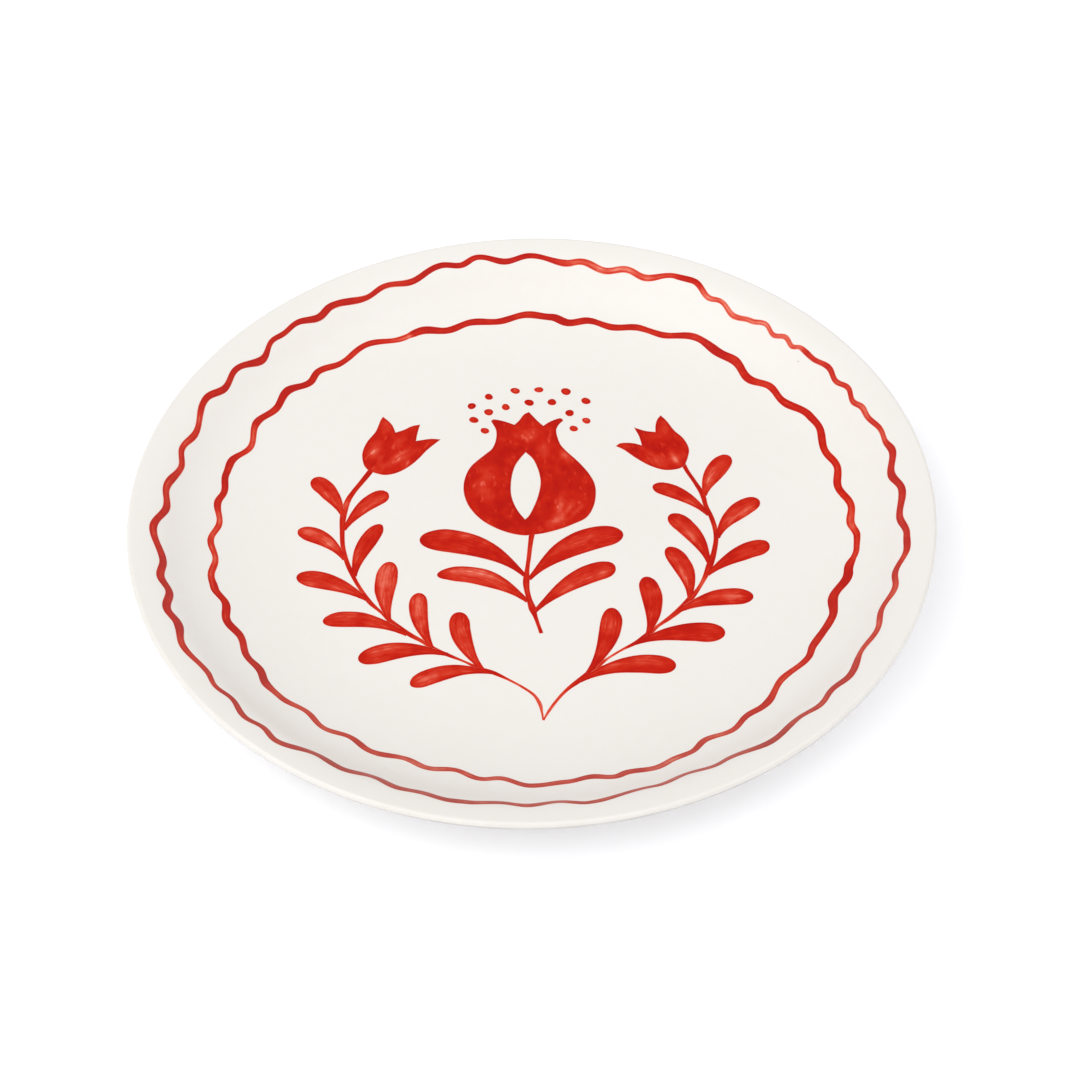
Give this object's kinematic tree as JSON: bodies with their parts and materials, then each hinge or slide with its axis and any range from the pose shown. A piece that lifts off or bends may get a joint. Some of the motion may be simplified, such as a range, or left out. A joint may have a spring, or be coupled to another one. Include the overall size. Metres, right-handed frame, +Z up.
{
  "type": "serving plate",
  "caption": "Shallow round glazed ceramic serving plate on a bare foot ring, painted in red with a pomegranate, two tulip branches, leaves, seeds and two wavy bands round the rim.",
  "frame": {"origin": "centre of the foot ring's resting face, on the plate's axis", "axes": "+Z up out of the hollow along the plate's axis, +Y towards the top of the painted picture, +X to the right of the picture"},
  "size_m": [0.3, 0.3, 0.027],
  "materials": {
    "clay": "bare fired clay, matte",
    "glaze": "warm white glaze, gloss",
    "paint": "red brushed underglaze colour, gloss"
  },
  "bodies": {
    "root": {"base_glaze": "glaze", "glaze_coat": "glaze", "inner_wavy_band": "paint", "leaf_left_inner_1": "paint", "leaf_left_inner_2": "paint", "leaf_left_inner_3": "paint", "leaf_left_inner_4": "paint", "leaf_left_inner_5": "paint", "leaf_left_outer_1": "paint", "leaf_left_outer_2": "paint", "leaf_left_outer_3": "paint", "leaf_left_outer_4": "paint", "leaf_left_outer_5": "paint", "leaf_left_outer_6": "paint", "leaf_pomegranate_lower_left": "paint", "leaf_pomegranate_lower_right": "paint", "leaf_pomegranate_upper_left": "paint", "leaf_pomegranate_upper_right": "paint", "leaf_right_inner_1": "paint", "leaf_right_inner_2": "paint", "leaf_right_inner_3": "paint", "leaf_right_inner_4": "paint", "leaf_right_inner_5": "paint", "leaf_right_outer_1": "paint", "leaf_right_outer_2": "paint", "leaf_right_outer_3": "paint", "leaf_right_outer_4": "paint", "leaf_right_outer_5": "paint", "leaf_right_outer_6": "paint", "outer_wavy_band": "paint", "plate_body": "clay", "pomegranate": "paint", "seed_01": "paint", "seed_02": "paint", "seed_03": "paint", "seed_04": "paint", "seed_05": "paint", "seed_06": "paint", "seed_07": "paint", "seed_08": "paint", "seed_09": "paint", "seed_10": "paint", "seed_11": "paint", "seed_12": "paint", "seed_13": "paint", "seed_14": "paint", "seed_15": "paint", "stem_left": "paint", "stem_pomegranate": "paint", "stem_right": "paint", "tulip_left": "paint", "tulip_right": "paint"}
  },
  "joints": []
}
